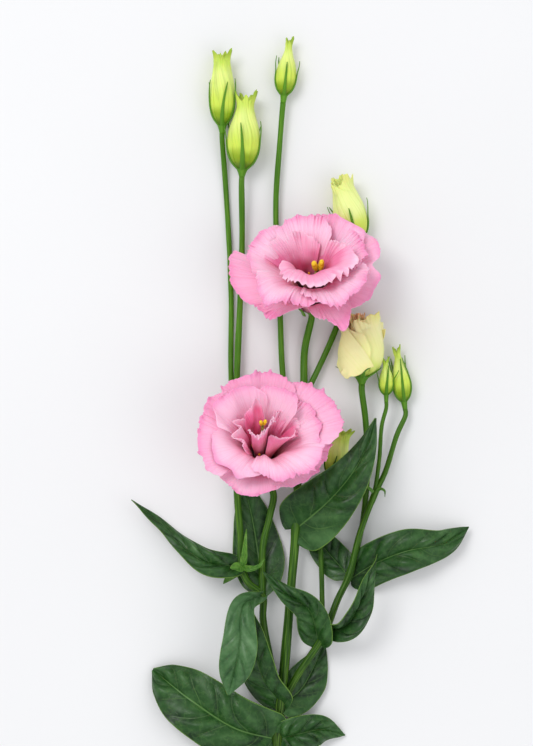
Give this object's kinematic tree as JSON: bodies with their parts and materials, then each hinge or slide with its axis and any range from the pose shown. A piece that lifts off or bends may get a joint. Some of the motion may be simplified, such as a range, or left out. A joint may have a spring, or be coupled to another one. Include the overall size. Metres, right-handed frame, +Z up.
{
  "type": "lisianthus flower",
  "caption": "Cut lisianthus stem lying down, with open ruffled double pink flowers, pale green buds on long stalks and broad pointed leaves.",
  "frame": {"origin": "on the surface the stem lies on, under the middle of its box", "axes": "+Z up, +Y along the stem from its cut end towards the flowers, +X to the right as seen from above"},
  "size_m": [0.1758, 0.3838, 0.0608],
  "materials": {
    "stalk": "satin",
    "leaf": "satin",
    "bud": "satin",
    "cream_bud": "matte",
    "petal": "matte",
    "pistil_and_stamens": "matte"
  },
  "bodies": {
    "root": {"stem": "stalk", "left_branch": "stalk", "right_branch": "stalk", "front_flower_stalk": "stalk", "left_far_stalk": "stalk", "top_stalk": "stalk", "right_tall_stalk": "stalk", "cream_stalk": "stalk", "right_small_stalk": "stalk", "twisted_stalk": "stalk", "leaf_low_left": "leaf", "leaf_low_right": "leaf", "leaf_first_left": "leaf", "leaf_first_right": "leaf", "leaf_curled": "leaf", "leaf_folded": "leaf", "leaf_long": "leaf", "leaf_right_back": "leaf", "leaf_big": "leaf", "leaf_hanging": "leaf", "leaf_back": "leaf", "leaf_wavy": "leaf", "bud_left_tall": "bud", "bud_left_far": "bud", "bud_top": "bud", "bud_right_tall": "bud", "bud_cream": "cream_bud", "bud_right_small": "bud", "bud_right_low": "bud", "bud_twisted": "bud", "front_outer_petal_1": "petal", "front_outer_petal_2": "petal", "front_outer_petal_3": "petal", "front_outer_petal_4": "petal", "front_outer_petal_5": "petal", "front_middle_petal_1": "petal", "front_middle_petal_2": "petal", "front_middle_petal_3": "petal", "front_middle_petal_4": "petal", "front_middle_petal_5": "petal", "front_inner_petal_1": "petal", "front_inner_petal_2": "petal", "front_inner_petal_3": "petal", "front_inner_petal_4": "petal", "front_inner_petal_5": "petal", "front_pistil_and_stamens": "pistil_and_stamens", "top_outer_petal_1": "petal", "top_outer_petal_2": "petal", "top_outer_petal_3": "petal", "top_outer_petal_4": "petal", "top_outer_petal_5": "petal", "top_middle_petal_1": "petal", "top_middle_petal_2": "petal", "top_middle_petal_3": "petal", "top_middle_petal_4": "petal", "top_middle_petal_5": "petal", "top_inner_petal_1": "petal", "top_inner_petal_2": "petal", "top_inner_petal_3": "petal", "top_pistil_and_stamens": "pistil_and_stamens"}
  },
  "joints": []
}
